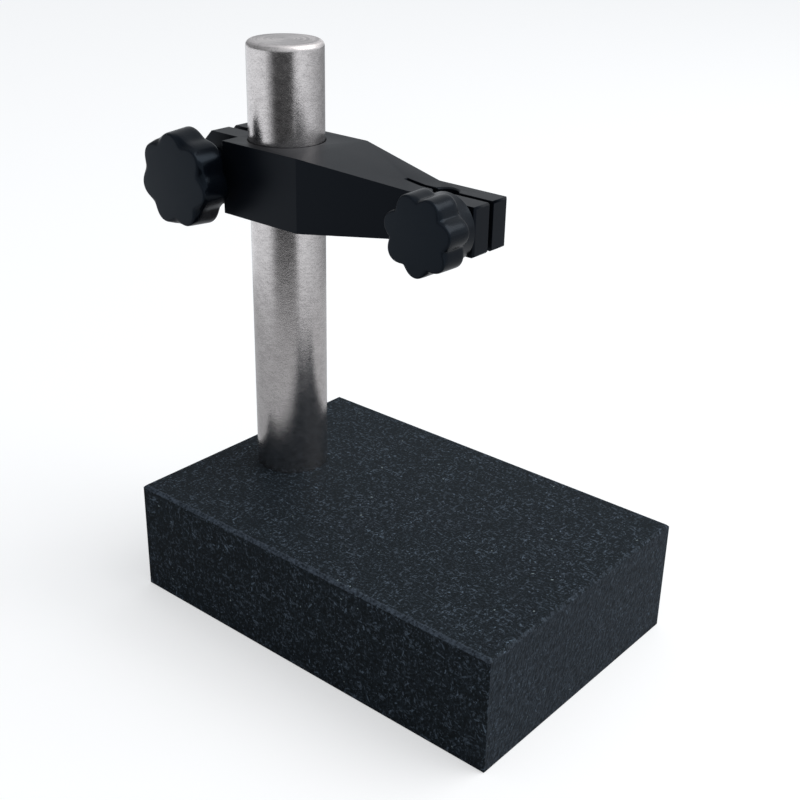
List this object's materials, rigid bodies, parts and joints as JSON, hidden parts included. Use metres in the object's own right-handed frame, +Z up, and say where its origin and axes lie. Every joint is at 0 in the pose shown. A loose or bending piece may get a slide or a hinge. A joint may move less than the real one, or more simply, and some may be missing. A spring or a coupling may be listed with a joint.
{
  "type": "comparator stand",
  "caption": "Comparator stand: granite table, round steel column and a split clamp arm with lobed knobs that slides, swings and grips a gauge stem.",
  "frame": {"origin": "centre of the table's underside", "axes": "+X along the arm towards the gauge end, +Z up the column, -Y towards the side that the knobs are on"},
  "size_m": [0.1633, 0.1, 0.188],
  "materials": {
    "granite": "black granite with fine blue-grey flecks, ground matt",
    "ground_steel": "ground bright steel with fine marks round the bar",
    "black_steel": "black oxide steel",
    "zinc_steel": "bright zinc-plated steel",
    "black_anodised": "black anodised, satin",
    "knob_plastic": "moulded black plastic, matt"
  },
  "bodies": {
    "base": {"granite_base": "granite"},
    "column": {"column": "ground_steel", "column_screw": "black_steel", "column_washer": "zinc_steel"},
    "arm": {"clamp_arm": "black_anodised"},
    "rear_washer": {"rear_washer": "zinc_steel"},
    "rear_knob": {"rear_knob": "knob_plastic", "rear_clamp_screw": "zinc_steel"},
    "front_washer": {"front_washer": "zinc_steel"},
    "front_knob": {"front_knob": "knob_plastic", "front_clamp_screw": "zinc_steel"}
  },
  "joints": [
    {"name": "arm_swing", "type": "hinge", "parent": "base", "child": "column", "pos_m": [-0.0515, 0, 0.04], "axis": [0, 0, 1], "continuous": true},
    {"name": "arm_height", "type": "slide", "parent": "column", "child": "arm", "axis": [0, 0, 1], "range_m": [-0.087, 0.03]},
    {"name": "rear_screw_travel", "type": "slide", "parent": "arm", "child": "rear_washer", "axis": [0, -1, 0], "range_m": [0, 0.001]},
    {"name": "rear_knob_turn", "type": "hinge", "parent": "rear_washer", "child": "rear_knob", "pos_m": [-0.0727, -0.011, 0.1444], "axis": [0, -1, 0], "range_deg": [0, 360]},
    {"name": "front_screw_travel", "type": "slide", "parent": "arm", "child": "front_washer", "axis": [0, -1, 0], "range_m": [0, 0.0008]},
    {"name": "front_knob_turn", "type": "hinge", "parent": "front_washer", "child": "front_knob", "pos_m": [0.0226, -0.0089, 0.1449], "axis": [0, -1, 0], "range_deg": [0, 360]}
  ],
  "couplings": [
    {"joint": "rear_knob_turn", "follows": "rear_screw_travel", "rad_per_m": 6283.2},
    {"joint": "front_knob_turn", "follows": "front_screw_travel", "rad_per_m": 7854}
  ]
}
